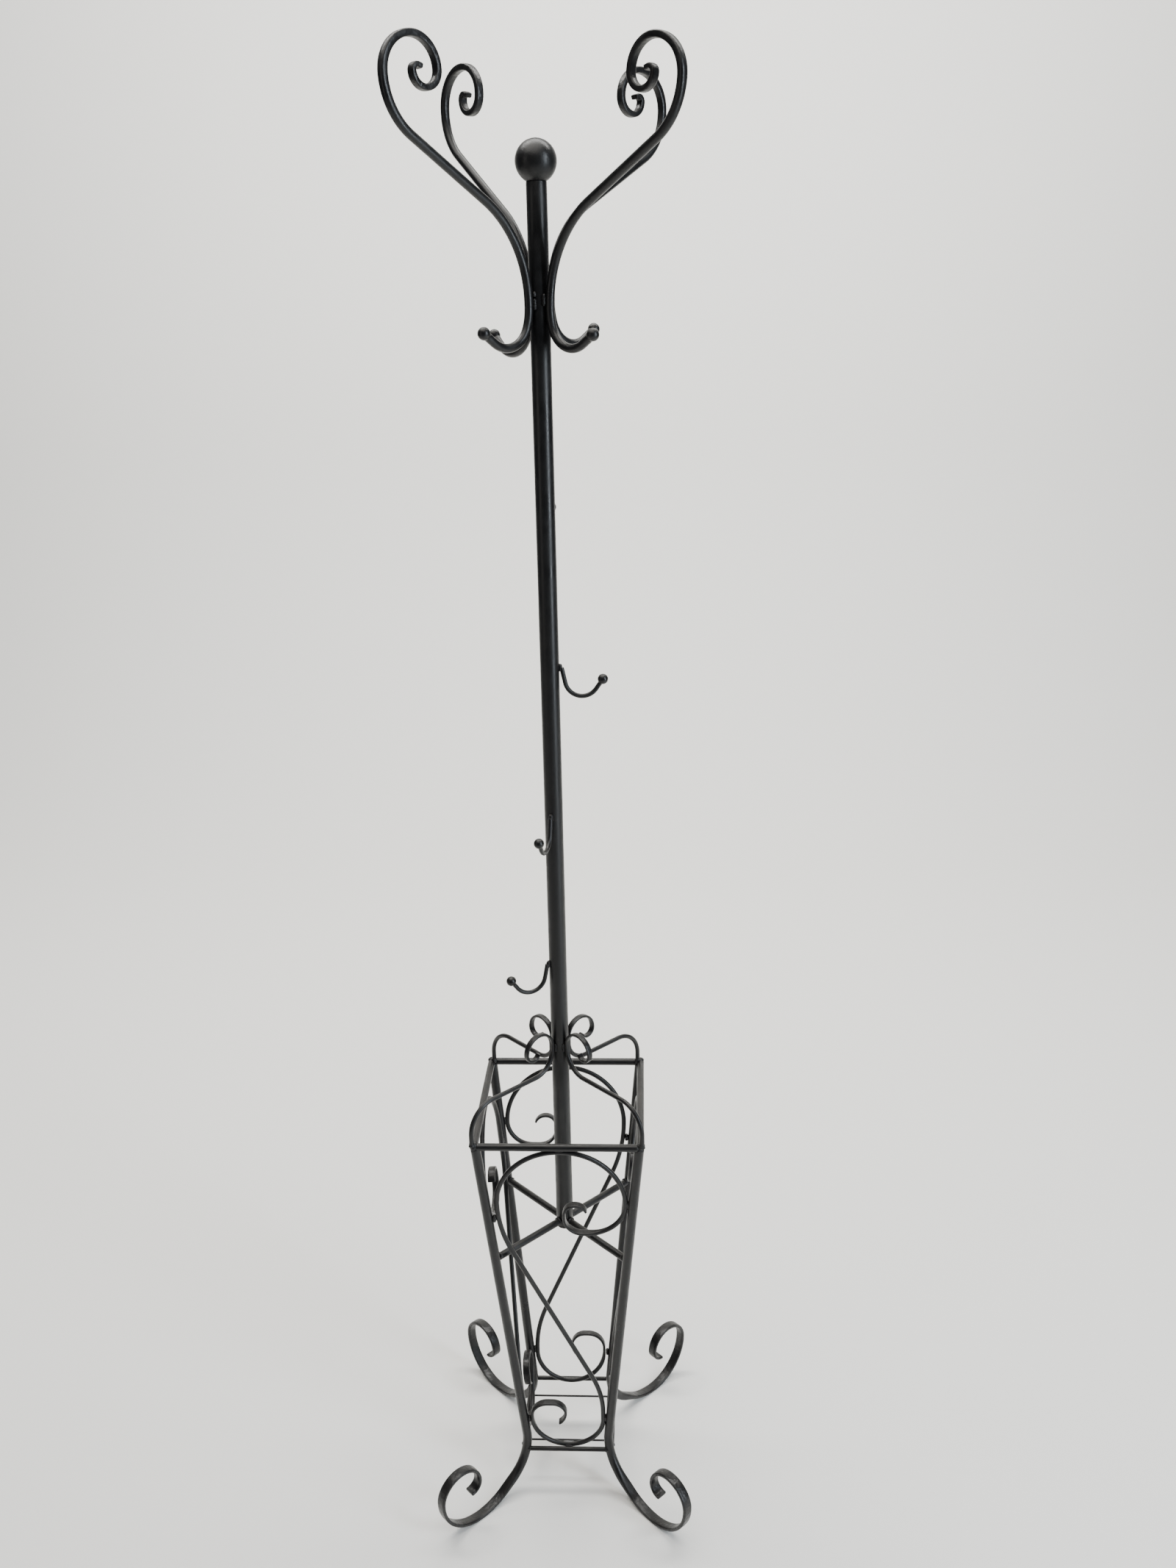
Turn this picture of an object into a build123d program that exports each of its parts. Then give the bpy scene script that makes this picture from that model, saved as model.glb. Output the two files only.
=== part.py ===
from build123d import *
import os
from math import atan2, cos, degrees, radians, sin, sqrt, tan

# Freestanding coat rack with an umbrella well: one round pole carried by a
# tapered four-legged cage, four scrolled arms at the top and four small hooks
# down the pole.  Millimetres, +Z up, origin on the floor under the pole's axis,
# -Y is the front.  All joints are welds, so nothing moves.

# ---------------------------------------------------------------- pole
pole_r = 11.1
pole_wall = 1.5
pole_bottom = 387.0
pole_top = 1673.0
cap_thick = 2.0
cap_round = 0.8
plug_gap = 0.1
plug_r = pole_r - pole_wall - plug_gap
plug_len = 18.0
ball_r = 22.0
ball_z = pole_top + sqrt(ball_r**2 - pole_r**2)

# ---------------------------------------------------------------- cage
rod_r = 4.75                     # top rails, brace and arms
low_rail_r = 3.175
leg_r = 6.35
top_half = 102.7                 # rail axis to the rack's axis
top_z = 573.3
low_half = 60.8
low_z = 60.6
back_lift = 8.0                  # the back low rail and its scroll sit higher
bar_sink = 2.0                   # bars end this far from a rail's axis
leg_top_r = 143.6                # leg axis to the rack's axis, along the diagonal
leg_low_r = 82.1
leg_low_z = 100.0
brace_z = 394.0
wire_r = 1.4
wire_y = 40.5

# ---------------------------------------------------------------- feet
foot_w = 13.5
foot_t = 5.0
foot_taper = 18.0                # length over which the leg is forged flat
foot_trim = 0.5                  # depth ground off so that the foot sits flat
foot_spread = 66.0               # turn from the leg to the forged part
foot_in_r = 62.0
foot_out_r = 80.0
toe_bends = [(62.0, 90.0), (32.0, 90.0), (29.0, 90.0), (14.0, 95.0)]

# ---------------------------------------------------------------- side panels
panel_r = 3.175
panel_w = 9.5
panel_t = 3.6
panel_taper = 8.0
arch_r = 81.3                    # upper arch, from leg to leg under the top rail
arch_x = 2.3                     # the scrolls are welded a little off the middle
arch_curl_r = 46.0
back_curl_r = 36.0               # the back panel's scroll is wound tighter
arch_curl = [(24.0, -90.0), (7.0, 0), (14.0, -90.0), (15.0, -70.0)]
loop_r = 48.6                    # lower loop, leaning on the low rail
loop_x = 0.9
loop_z = 63.2
loop_curl = [(22.0, -90.0), (6.0, 0), (18.0, -90.0), (22.0, -55.0)]
sway_turn = 24.3                 # slope of the diagonal
sway_top_r = 190.0               # easy bends at both ends of the diagonal
sway_low_r = 160.0
panel_lean = degrees(atan2((leg_top_r - leg_low_r) / sqrt(2), top_z - leg_low_z))

# ---------------------------------------------------------------- cap straps
strap_r = 3.0
strap_w = 7.5
strap_t = 3.4
strap_front_r = 148.5            # the front straps stand a little further out
strap_back_r = 139.5
strap_rise = 15.5
strap_knee_r = 36.0
strap_heel_r = 29.0
strap_taper = 8.0
strap_curl = [(21.0, -180.0), (10.5, -90.0), (9.0, -75.0)]

# ---------------------------------------------------------------- arms and hooks
arm_w = 9.0
arm_t = 7.4
arm_z = 1555.0                   # height at which an arm is welded to the pole
arm_ball_r = 6.8
arm_fall_flat = 4.0              # hook limb, leaving the pole
arm_fall_r = 60.0
arm_cup = [(arm_fall_flat, 0), (arm_fall_r, 22.0), (31.0, 104.0), (14.5, 0)]
arm_rise_flat = 2.0              # scroll limb, leaving the pole
arm_rise_r = 112.0
arm_rise = [(arm_rise_flat, 0), (arm_rise_r, -58.0), (81.0, 0)]
arm_taper = 22.0
arm_curl = [(60.0, 58.0), (36.5, 90.0), (28.5, 90.0), (16.5, 90.0), (14.0, 90.0), (5.0, 110.0), (4.0, 0)]
# name, azimuth and outward lean in degrees, height of the weld: each arm was
# set by eye on the real rack, so no two stand quite alike
arms = [
    ("front_left", 227.0, 1.7, arm_z),
    ("front_right", 317.7, 4.3, arm_z),
    ("back_right", 46.0, 2.0, arm_z + 4.0),
    ("back_left", 132.0, -6.4, arm_z - 10.0),
]
hook_r = 2.75
hook_ball_r = 6.2
hook_drop = 78.0                 # the rod leaves the pole this steeply
hook_bends = [(19.0, 0), (20.0, hook_drop), (20.0, 55.0), (12.0, 0)]
# name, azimuth, height of the top of the weld
hooks = [
    ("back", 88.0, 1346.0),
    ("right", 2.0, 1154.0),
    ("front", 257.0, 972.0),
    ("left", 203.0, 775.0),
]

corners = [("front_left", 225.0), ("front_right", 315.0), ("back_right", 45.0), ("back_left", 135.0)]
sides = [("front", 270.0), ("right", 0.0), ("back", 90.0), ("left", 180.0)]
lifts = {"front": 0.0, "right": 0.0, "back": back_lift, "left": 0.0}

# ---------------------------------------------------------------- welds
bead_r = 2.6
lump_roll = (50.0, 33.0, 17.0)    # keeps a bead's seam clear of the bars it meets
wide_bead_r = 3.3                # where a panel stops short of its leg
hook_bead_r = 3.4
bead_out = 1.2                   # a bead's centre stands this far off the pole
hook_bead_rise = 1.5
arm_weld_turn = 23.0
arm_weld_rise = 5.0
strap_weld_turn = 21.0
strap_weld_rise = 5.0
arch_weld_drop = 24.0
arch_weld_rise = 4.0
loop_weld_rise = 6.0

os.makedirs("parts", exist_ok=True)


def upright(azimuth, reach=0.0, height=0.0, lean=0.0):
    """Vertical plane through the rack's axis: local x points outwards, local y upwards."""
    out = Vector(cos(radians(azimuth)), sin(radians(azimuth)), 0)
    side = Vector(sin(radians(azimuth)), -cos(radians(azimuth)), 0)
    along = out * cos(radians(lean)) - Vector(0, 0, 1) * sin(radians(lean))
    return Plane(origin=out * reach + Vector(0, 0, height), x_dir=along, z_dir=side)


def centre_line(plane, start, heading, bends):
    """Tangent chain of straights (length, 0) and arcs (radius, turn), as a wire."""
    point = plane.from_local_coords(Vector(*start))
    ahead = plane.x_dir * cos(radians(heading)) + plane.y_dir * sin(radians(heading))
    with BuildLine(plane) as line:
        for size, turn in bends:
            if turn == 0:
                step = Line(point, point + ahead * size)
            else:
                step = JernArc(point, ahead, size, turn)
            point = step @ 1
            ahead = step % 1
    return line.wires()[0]


def end_heading(plane, wire):
    """Direction in the plane's own coordinates in which a centre-line ends."""
    ahead = wire % 1
    return degrees(atan2(ahead.dot(plane.y_dir), ahead.dot(plane.x_dir)))


def section(plane, wire, at, width, thick):
    """Round or oval section across a centre-line, its width across the bending plane."""
    across = Plane(origin=wire @ at, x_dir=plane.z_dir, z_dir=wire % at)
    with BuildSketch(across) as profile:
        Ellipse(width / 2, thick / 2)
    return profile.sketch


def add_rod(plane, start, heading, bends, width, thick):
    """Sweep one section along a chain of bends into the current part."""
    wire = centre_line(plane, start, heading, bends)
    sweep(sections=section(plane, wire, 0, width, thick), path=wire)
    return wire


def add_forged(plane, start, heading, round_bends, radius, taper, width, thick, flat_bends):
    """Round bar whose end is forged into a ribbon and curled."""
    bar = add_rod(plane, start, heading, round_bends, 2 * radius, 2 * radius)
    shoulder = plane.to_local_coords(bar @ 1)
    along = end_heading(plane, bar)
    neck = centre_line(plane, (shoulder.X, shoulder.Y), along, [(taper, 0)])
    round_end = section(plane, neck, 0, 2 * radius, 2 * radius)
    flat_end = section(plane, neck, 1, width, thick)
    loft(sections=[round_end, flat_end])
    tip = plane.to_local_coords(neck @ 1)
    return add_rod(plane, (tip.X, tip.Y), along, flat_bends, width, thick)


def bead(place, radius, neighbours):
    """Weld bead: a small lump filling the corner between its neighbours."""
    with BuildPart() as lump:
        with Locations(Location(place, lump_roll)):
            Sphere(radius)
        for neighbour in neighbours:
            add(neighbour.part, mode=Mode.SUBTRACT)
    return lump


def save_all(name, lumps):
    """Write several lumps as one piece."""
    with BuildPart() as group:
        for lump in lumps:
            add(lump.part)
    save(name, group)


def end_ball(plane, wire, radius, rod_radius):
    """Ball on the end of a hook, turned with a bore that takes the rod's straight end."""
    ahead = wire % 1
    centre = (wire @ 1) + ahead * (radius / 3)
    rod_end = -radius / 3
    mouth = -sqrt(radius**2 - rod_radius**2)
    with BuildPart() as ball:
        with BuildSketch(Plane(origin=centre, x_dir=plane.z_dir, z_dir=plane.z_dir.cross(ahead))):
            with BuildLine():
                Polyline((0, radius), (0, rod_end), (rod_radius, rod_end), (rod_radius, mouth))
                ThreePointArc((rod_radius, mouth), (radius, 0), (0, radius))
            make_face()
        revolve(axis=Axis(centre, ahead))
    return ball


def polar(radius, azimuth, height):
    return (radius * cos(radians(azimuth)), radius * sin(radians(azimuth)), height)


def leg_reach(height):
    """Distance of a straight leg's axis from the rack's axis at a height."""
    return leg_low_r + (leg_top_r - leg_low_r) * (height - leg_low_z) / (top_z - leg_low_z)


def save(name, group):
    group.part.label = name
    export_step(group.part, "parts/" + name + ".step")


# ================================================================ pole
with BuildPart() as pole:
    with BuildSketch(Plane.XY.offset(pole_bottom)):
        Circle(pole_r)
        Circle(pole_r - pole_wall, mode=Mode.SUBTRACT)
    extrude(amount=pole_top - pole_bottom)
save("pole", pole)

with BuildPart() as end_cap:
    with BuildSketch(Plane.XY.offset(pole_bottom - cap_thick)):
        Circle(pole_r)
    extrude(amount=cap_thick)
    fillet(end_cap.edges().group_by(Axis.Z)[0], cap_round)
    with BuildSketch(Plane.XY.offset(pole_bottom)):
        Circle(plug_r)
    extrude(amount=plug_len / 2)
save("pole_end_cap", end_cap)

with BuildPart() as finial:
    with Locations((0, 0, ball_z)):
        Sphere(ball_r)
    split(bisect_by=Plane.XY.offset(pole_top), keep=Keep.TOP)
    with BuildSketch(Plane.XY.offset(pole_top - plug_len)):
        Circle(plug_r)
    extrude(amount=plug_len)
save("finial_ball", finial)

# ================================================================ top frame
top_rails = []
for side, azimuth in sides:
    with BuildPart() as rail:
        across = Vector(*polar(1, azimuth + 90, 0))
        middle = Vector(*polar(top_half, azimuth, top_z))
        with BuildSketch(Plane(origin=middle, z_dir=across)):
            Circle(rod_r)
        extrude(amount=top_half + 2 * rod_r, both=True)
        for turn in (-45, 45):
            split(bisect_by=Plane(origin=(0, 0, 0), z_dir=polar(1, azimuth + turn, 0)), keep=Keep.TOP)
    top_rails.append(rail)
    save("top_rail_" + side, rail)

# ================================================================ legs with their feet
leg_lean = degrees(atan2(leg_top_r - leg_low_r, top_z - leg_low_z))
leg_heading = -90 - leg_lean
toe_heading = leg_heading + foot_spread
foot_drop = (
    foot_in_r * (cos(radians(toe_heading)) - cos(radians(leg_heading)))
    - foot_taper * sin(radians(toe_heading))
    + foot_out_r * (1 - cos(radians(toe_heading)))
)
leg_head_z = top_z - bar_sink
leg_bend_z = foot_t / 2 - foot_trim + foot_drop
leg_straight = (leg_head_z - leg_bend_z) / cos(radians(leg_lean))
foot_flat = [(foot_out_r, -toe_heading)] + toe_bends

legs = []
for corner, azimuth in corners:
    with BuildPart() as leg:
        head = (leg_reach(leg_head_z), leg_head_z)
        bar = [(leg_straight, 0), (foot_in_r, foot_spread)]
        add_forged(upright(azimuth), head, leg_heading, bar, leg_r, foot_taper, foot_w, foot_t, foot_flat)
        split(bisect_by=Plane.XY, keep=Keep.TOP)
        for rail in top_rails:
            add(rail.part, mode=Mode.SUBTRACT)
    legs.append(leg)
    save("leg_" + corner, leg)

# ================================================================ low rails and tray wires
low_rails = []
for side, azimuth in sides:
    lift = lifts[side]
    with BuildPart() as rail:
        across = Vector(*polar(1, azimuth + 90, 0))
        middle = polar(low_half + lift * tan(radians(panel_lean)), azimuth, low_z + lift)
        with BuildSketch(Plane(origin=middle, z_dir=across)):
            Circle(low_rail_r)
        extrude(amount=leg_low_r / sqrt(2), both=True)
        for leg in legs:
            add(leg.part, mode=Mode.SUBTRACT)
    low_rails.append(rail)
    save("low_rail_" + side, rail)

for side, place in (("front", -wire_y), ("back", wire_y)):
    with BuildPart() as wire:
        with BuildSketch(Plane(origin=(0, place, low_z - low_rail_r - wire_r), z_dir=(1, 0, 0))):
            Circle(wire_r)
        extrude(amount=low_half + low_rail_r / 2, both=True)
    save("tray_wire_" + side, wire)

# ================================================================ brace under the pole
braces = []
for corner, azimuth in corners:
    with BuildPart() as brace:
        with BuildSketch(Plane(origin=polar(0, azimuth, brace_z), z_dir=polar(1, azimuth, 0))):
            Circle(rod_r)
        extrude(amount=leg_reach(brace_z))
        with BuildSketch(Plane.XY.offset(brace_z - 2 * rod_r)):
            Circle(pole_r)
        extrude(amount=4 * rod_r, mode=Mode.SUBTRACT)
        for leg in legs:
            add(leg.part, mode=Mode.SUBTRACT)
    braces.append(brace)
    save("brace_" + corner, brace)

# ================================================================ side panels
tilt = radians(panel_lean)
turned = radians(sway_turn)
arch_top = (top_z - rod_r - panel_r - leg_low_z) / cos(tilt)
arch_mid = arch_top - arch_r
arch_start = arch_x - arch_r
loop_low = (loop_z - leg_low_z) / cos(tilt)
loop_mid = loop_low + loop_r
sway_r = sway_top_r + sway_low_r
diagonal = (loop_x + loop_r - arch_start - sway_r * (1 - cos(turned))) / sin(turned)
loop_drop = arch_mid - loop_mid - sway_r * sin(turned) - diagonal * cos(turned)

panel_planes = {}
for side, azimuth in sides:
    out = Vector(*polar(1, azimuth, 0))
    across = Vector(*polar(1, azimuth + 90, 0))
    face = out * cos(tilt) - Vector(0, 0, 1) * sin(tilt)
    middle = polar(leg_low_r / sqrt(2), azimuth, leg_low_z)
    panel_planes[side] = Plane(origin=middle, x_dir=across, z_dir=face)

panels = []
for side, plane in panel_planes.items():
    drop = loop_drop - lifts[side] / cos(tilt)
    under = [(sway_top_r, sway_turn), (diagonal, 0), (sway_low_r, -sway_turn), (drop, 0), (loop_r, -180)]
    curl_r = back_curl_r if side == "back" else arch_curl_r
    over = [(arch_r, -180), (curl_r, -90)]
    with BuildPart() as panel:
        start = (arch_start, arch_mid)
        add_forged(plane, start, 90, over, panel_r, panel_taper, panel_w, panel_t, arch_curl)
        add_forged(plane, start, -90, under, panel_r, panel_taper, panel_w, panel_t, loop_curl)
    panels.append(panel)
    save("panel_scroll_" + side, panel)

# ================================================================ cap straps
straps = []
for corner, azimuth in corners:
    foot_r = strap_back_r if corner.startswith("back") else strap_front_r
    strap_run = foot_r - strap_knee_r - strap_heel_r - pole_r - strap_r
    with BuildPart() as strap:
        start = (foot_r, top_z + bar_sink)
        bar = [(strap_rise, 0), (strap_knee_r, 90), (strap_run, 0), (strap_heel_r, -90)]
        add_forged(upright(azimuth), start, 90, bar, strap_r, strap_taper, strap_w, strap_t, strap_curl)
        for rail in top_rails:
            add(rail.part, mode=Mode.SUBTRACT)
    straps.append(strap)
    save("cap_strap_" + corner, strap)

# ================================================================ arms, each a scroll above and a hook below
arm_welds = []
for corner, azimuth, lean, height in arms:
    # the limb that leans towards the pole must only just touch it
    near_r, near_flat = (arm_fall_r, arm_fall_flat) if lean > 0 else (arm_rise_r, arm_rise_flat)
    clearance = near_r * (1 - cos(radians(lean))) + near_flat * sin(radians(abs(lean)))
    reach = pole_r + rod_r + clearance
    plane = upright(azimuth, reach, height, lean)
    with BuildPart() as arm:
        cup = add_rod(plane, (0, 0), -90, arm_cup, 2 * rod_r, 2 * rod_r)
        add_forged(plane, (0, 0), 90, arm_rise, rod_r, arm_taper, arm_w, arm_t, arm_curl)
    save("arm_" + corner, arm)
    save("arm_ball_" + corner, end_ball(plane, cup, arm_ball_r, rod_r))
    for turn, rise in ((-arm_weld_turn, arm_weld_rise), (arm_weld_turn, -arm_weld_rise)):
        place = polar(pole_r + bead_out, azimuth + turn, height + rise)
        arm_welds.append(bead(place, bead_r, [pole, arm]))
save_all("arm_welds", arm_welds)

# ================================================================ pole hooks
hook_welds = []
for side, azimuth, height in hooks:
    plane = upright(azimuth)
    with BuildPart() as hook:
        bend = add_rod(plane, (pole_r + hook_r, height), -hook_drop, hook_bends, 2 * hook_r, 2 * hook_r)
    save("pole_hook_" + side, hook)
    save("hook_ball_" + side, end_ball(plane, bend, hook_ball_r, hook_r))
    place = polar(pole_r + bead_out, azimuth, height + hook_bead_rise)
    hook_welds.append(bead(place, hook_bead_r, [pole, hook]))
save_all("hook_welds", hook_welds)

# ================================================================ the other welds, as beads
def gap_middle(rod_edge, height):
    """Halfway from a panel's rod to the leg beside it, along the panel's plane."""
    leg_edge = leg_reach(leg_low_z + height * cos(tilt)) / sqrt(2) - leg_r
    return (rod_edge + leg_edge) / 2


panel_welds = []
drop_in = sway_top_r - sqrt(sway_top_r**2 - arch_weld_drop**2)
for index, (side, plane) in enumerate(panel_planes.items()):
    near = legs[index]
    far = legs[(index + 1) % len(legs)]
    wide_at = arch_mid - arch_weld_drop
    high_at = arch_mid + arch_weld_rise
    near_at = loop_mid + lifts[side] / cos(tilt)
    far_at = near_at + loop_weld_rise
    for across, height, out, radius, neighbour in (
        (-gap_middle(panel_r - arch_start - drop_in, wide_at), wide_at, 0, wide_bead_r, near),
        (gap_middle(arch_x + arch_r + panel_r, high_at), high_at, 0, bead_r, far),
        (-gap_middle(loop_r - loop_x + panel_r, near_at), near_at, 0, bead_r, near),
        (gap_middle(loop_x + loop_r + panel_r, far_at), far_at, 0, bead_r, far),
        (arch_x, arch_top + panel_r, 0, bead_r, top_rails[index]),
        (loop_x, near_at - loop_r, panel_r, bead_r, low_rails[index]),
    ):
        place = plane.from_local_coords((across, height, out))
        panel_welds.append(bead(place, radius, [panels[index], neighbour]))
save_all("panel_welds", panel_welds)

strap_weld_z = top_z + strap_rise + strap_knee_r + strap_heel_r + strap_weld_rise
strap_welds = []
brace_welds = []
for index, (corner, azimuth) in enumerate(corners):
    for turn in (-strap_weld_turn, strap_weld_turn):
        place = polar(pole_r + bead_out, azimuth + turn, strap_weld_z)
        strap_welds.append(bead(place, bead_r, [pole, straps[index]]))
    inner = polar(pole_r + bead_out, azimuth, brace_z + rod_r)
    outer = polar(leg_reach(brace_z) - leg_r - bead_out, azimuth, brace_z + rod_r)
    brace_welds.append(bead(inner, bead_r, [pole, braces[index]]))
    brace_welds.append(bead(outer, bead_r, [legs[index], braces[index]]))
save_all("strap_welds", strap_welds)
save_all("brace_welds", brace_welds)
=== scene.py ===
import math
from collections import namedtuple

import bpy
from mathutils import Matrix, Vector, noise


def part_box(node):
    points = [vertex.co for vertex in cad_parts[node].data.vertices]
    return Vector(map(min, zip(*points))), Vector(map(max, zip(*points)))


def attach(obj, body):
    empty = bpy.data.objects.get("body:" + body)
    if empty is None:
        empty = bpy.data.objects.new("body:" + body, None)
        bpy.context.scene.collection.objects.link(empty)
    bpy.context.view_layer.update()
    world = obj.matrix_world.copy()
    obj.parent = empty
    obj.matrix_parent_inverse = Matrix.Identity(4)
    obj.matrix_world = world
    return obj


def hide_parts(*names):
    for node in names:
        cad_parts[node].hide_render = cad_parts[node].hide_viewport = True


# Looks of a black wrought coat rack with an umbrella well.  Metres, +Z up, origin
# on the floor under the pole's axis, -Y is the front.  Every bar is one mesh swept
# along the same chain of straights and arcs as its CAD node.

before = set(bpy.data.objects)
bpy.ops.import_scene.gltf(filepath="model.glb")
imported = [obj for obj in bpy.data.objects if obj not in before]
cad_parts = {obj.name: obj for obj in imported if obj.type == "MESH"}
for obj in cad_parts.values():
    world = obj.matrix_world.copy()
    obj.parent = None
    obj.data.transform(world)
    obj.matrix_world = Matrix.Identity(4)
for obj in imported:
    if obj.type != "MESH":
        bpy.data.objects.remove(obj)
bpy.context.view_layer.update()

# ---------------------------------------------------------------- pole
pole_low, pole_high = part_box("pole")
pole_r = pole_high.x
pole_edge = 0.0012                # size of the soft edge at both ends
edge_share = 0.3
pole_rows = 60
turned_points = 64                # points round the pole and the finial
knob_points = 40
ball_flare = 0.0006               # fillet of weld under the finial
_, ball_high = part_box("finial_ball")
ball_r = ball_high.x
ball_centre = Vector((0, 0, ball_high.z - ball_r))

# ---------------------------------------------------------------- cage
rod_r = 0.00475
low_rail_r = 0.003175
leg_r = 0.00635
top_half = 0.1027
top_z = 0.5733
low_half = 0.0608
low_z = 0.0606
back_lift = 0.008                 # the back low rail and its scroll sit higher
low_leg_r = 0.0818                # leg axis at the low rails, where the foot begins to bend
leg_top_r = 0.1436
leg_low_r = 0.0821
leg_low_z = 0.1
brace_z = 0.394
wire_r = 0.0014
wire_y = 0.0405
bar_sink = 0.002                  # a bar stops this far short of the axis of the bar it meets
pole_sink_share = 0.9             # a brace ends inside the pole and inside the leg
leg_sink_share = 0.8

# ---------------------------------------------------------------- feet
foot_w = 0.0135
foot_t = 0.005
foot_taper = 0.018
foot_trim = 0.0005
foot_late = 0.012                 # the bar is fully flat this far past the foot's taper
foot_flatten = 0.05
foot_tip = 0.03
foot_tip_w = 0.0155
foot_tip_t = 0.0042
foot_spread = 66
foot_in_r = 0.062
foot_out_r = 0.08
toe_bends = [(0.062, 90), (0.032, 90), (0.029, 90), (0.014, 95)]

# ---------------------------------------------------------------- side panels
panel_r = 0.003175
panel_w = 0.0095
panel_t = 0.0036
panel_taper = 0.008
panel_tip_t = 0.003
ribbon_flatten = 0.03             # panels and straps: run from round to flat
ribbon_tip = 0.012
tip_spread = 1.04                 # a hammered tip is a little wider
arch_r = 0.0813
arch_x = 0.0023
arch_curl_r = 0.046
back_curl_r = 0.036
arch_curl = [(0.024, -90), (0.007, 0), (0.014, -90), (0.015, -70)]
loop_r = 0.0486
loop_x = 0.0009
loop_z = 0.0632
loop_curl = [(0.022, -90), (0.006, 0), (0.018, -90), (0.022, -55)]
sway_turn = 24.3
sway_top_r = 0.19
sway_low_r = 0.16
panel_lean = math.degrees(math.atan2((leg_top_r - leg_low_r) / math.sqrt(2), top_z - leg_low_z))

# ---------------------------------------------------------------- cap straps
strap_r = 0.003
strap_w = 0.0075
strap_t = 0.0034
strap_front_r = 0.1485
strap_back_r = 0.1395
strap_rise = 0.0155
strap_knee_r = 0.036
strap_heel_r = 0.029
strap_taper = 0.008
strap_late = 0.005                # the same past the start of a strap's curl
strap_tip_t = 0.0029
strap_curl = [(0.021, -180), (0.0105, -90), (0.009, -75)]

# ---------------------------------------------------------------- arms and hooks
arm_w = 0.009
arm_t = 0.0074
arm_beat = 0.0006                 # thickness lost to the hammer
arm_flatten = 0.15
arm_tip = 0.05
arm_tip_t = 0.0052
arm_z = 1.555
arm_ball_r = 0.0068
arm_fall_flat = 0.004
arm_fall_r = 0.06
arm_cup = [(arm_fall_flat, 0), (arm_fall_r, 22), (0.031, 104), (0.0145, 0)]
arm_rise_flat = 0.002
arm_rise_r = 0.112
arm_rise = [(arm_rise_flat, 0), (arm_rise_r, -58), (0.081, 0)]
arm_taper = 0.022
arm_curl = [
    (0.06, 58),
    (0.0365, 90),
    (0.0285, 90),
    (0.0165, 90),
    (0.014, 90),
    (0.005, 110),
    (0.004, 0),
]
arms = [
    ("front_left", 227.0, 1.7, arm_z),
    ("front_right", 317.7, 4.3, arm_z),
    ("back_right", 46.0, 2.0, arm_z + 0.004),
    ("back_left", 132.0, -6.4, arm_z - 0.01),
]
hook_r = 0.00275
hook_ball_r = 0.0062
knob_flare = 0.0005
hook_drop = 78
hook_bends = [(0.019, 0), (0.02, hook_drop), (0.02, 55), (0.012, 0)]
hooks = [
    ("back", 88, 1.346),
    ("right", 2, 1.154),
    ("front", 257, 0.972),
    ("left", 203, 0.775),
]

corners = [("front_left", 225), ("front_right", 315), ("back_right", 45), ("back_left", 135)]
sides = [("front", 270), ("right", 0), ("back", 90), ("left", 180)]
lifts = {"front": 0.0, "right": 0.0, "back": back_lift, "left": 0.0}

# ---------------------------------------------------------------- welds
# turn from the arm's azimuth, then the heights of both ends of the run
arm_weld_runs = [(-22, -0.003, 0.0055), (22, -0.007, 0.001), (22, 0.006, 0.008)]
arm_weld_out = 0.0013             # how far the middle of a run stands off the pole
arm_weld_r = 0.0019
hook_weld_out = 0.0009
hook_weld_half = 0.002
hook_weld_r = 0.0027
pole_weld_out = 0.0008
strap_weld_turn = 20
strap_weld_rise = 0.002
strap_weld_run = 0.007
strap_weld_r = 0.0018
brace_weld_r = 0.0014
brace_weld_gap = 0.0002
brace_leg_gap = 0.0006
brace_pole_span = 70              # degrees either side of the bar's top
brace_leg_span = 60
arch_weld_drop = 0.024
loop_weld_rise = 0.003
side_weld_apart = 0.0014          # a panel's welds are paired runs, one each side of the rod
rail_weld_half = 0.003
rail_weld_r = 0.0018
corner_weld_low = 0.003
corner_weld_high = 0.0015
corner_weld_share = 1.02
strap_foot_share = 0.72           # height of the foot's weld, in radii of the top rail
foot_weld_run = 0.001
foot_weld_share = 1.25
low_weld_r = 0.0011
low_weld_share = 0.8              # of the leg's radius, from its axis out to the weld
low_weld_span = 110

# ---------------------------------------------------------------- meshing
step = 0.002
ring_points = 28
cap_steps = 4                     # rings that round off a bar's end
end_rounding = 0.0008
strap_rounding = 0.0006
wire_rounding = 0.0004
ribbon_power = 4.5
uneven_scale = 60
uneven_layer = 3.1
uneven_round = 0.006
uneven_width = 0.018
uneven_thick = 0.03
weld_step = 0.0006
weld_points = 14
weld_least = 0.1                  # share of its radius left at the end of a run
weld_ripple = 0.07
weld_ripple_rate = 4.2
weld_lump = 0.22
weld_lump_scale = 420
Forging = namedtuple("Forging", "length taper width thick tip tip_width tip_thick")


# ================================================================ centre lines
def upright(azimuth, reach=0.0, height=0.0, lean=0.0):
    """Vertical plane through the rack's axis: x points outwards and y upwards."""
    turn = math.radians(azimuth)
    tilt = math.radians(lean)
    out = Vector((math.cos(turn), math.sin(turn), 0))
    side = Vector((math.sin(turn), -math.cos(turn), 0))
    x_dir = out * math.cos(tilt) - Vector((0, 0, 1)) * math.sin(tilt)
    return out * reach + Vector((0, 0, height)), x_dir, side.cross(x_dir)


def walk(start, heading, bends):
    """Chain of (size, turn) as pieces (begin, length, x, y, heading, curvature)."""
    x, y = start
    facing = math.radians(heading)
    begin = 0.0
    pieces = []
    for size, turn in bends:
        curve = math.copysign(1 / size, turn) if turn else 0.0
        length = abs(math.radians(turn)) * size if turn else size
        pieces.append((begin, length, x, y, facing, curve))
        x, y, facing = follow(pieces[-1], length)
        begin += length
    return pieces


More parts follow.
